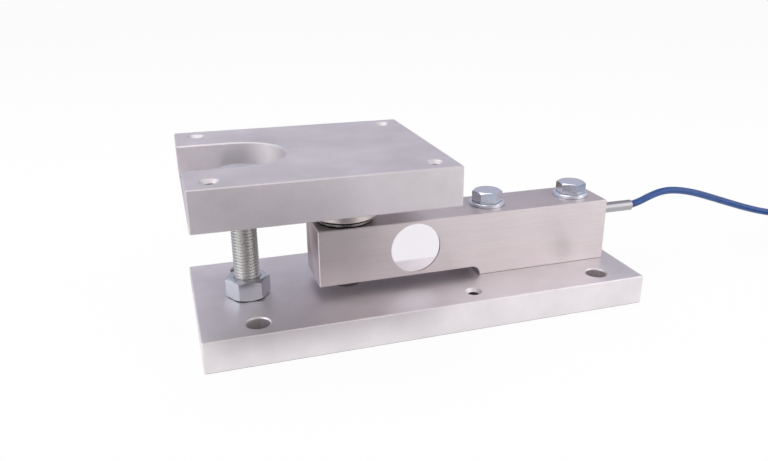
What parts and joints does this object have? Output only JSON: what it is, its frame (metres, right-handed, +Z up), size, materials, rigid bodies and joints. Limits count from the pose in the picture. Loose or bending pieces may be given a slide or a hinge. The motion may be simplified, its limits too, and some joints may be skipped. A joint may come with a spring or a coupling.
{
  "type": "weighing module",
  "caption": "Steel weighing module: a shear-beam load cell on a base plate under a loose top plate with an anti-lift bolt, with its cable.",
  "frame": {"origin": "centre of the base plate's underside", "axes": "+X along the load cell towards its cable, +Y to the side the cable leaves on, +Z up"},
  "size_m": [0.5481, 0.1827, 0.1115],
  "materials": {
    "plate_steel": "satin",
    "cell_steel": "satin",
    "polished_steel": "polished",
    "zinc_steel": "satin",
    "rubber": "matte",
    "cable_jacket": "matte",
    "black_nylon": "satin",
    "gauge_film": "satin",
    "board": "satin",
    "core_plastic": "satin",
    "tinned_copper": "satin"
  },
  "bodies": {
    "root": {"base_plate": "plate_steel", "top_plate": "plate_steel", "load_cell_body": "cell_steel", "front_seal_disc": "polished_steel", "rear_seal_disc": "polished_steel", "front_strain_gauge": "gauge_film", "rear_strain_gauge": "gauge_film", "terminal_board": "board", "inner_leads": "core_plastic", "cable_sleeve": "zinc_steel", "load_button": "polished_steel", "load_cup": "cell_steel", "seal_ring": "rubber", "cell_bolt_inner": "zinc_steel", "cell_bolt_outer": "zinc_steel", "cell_washer_inner": "zinc_steel", "cell_washer_outer": "zinc_steel", "anti_lift_bolt": "zinc_steel", "anti_lift_lock_nut": "zinc_steel", "cable": "cable_jacket", "cable_coil": "cable_jacket", "cable_tail": "cable_jacket", "cable_tie": "black_nylon", "core_ends": "core_plastic", "core_ferrules": "tinned_copper"}
  },
  "joints": []
}
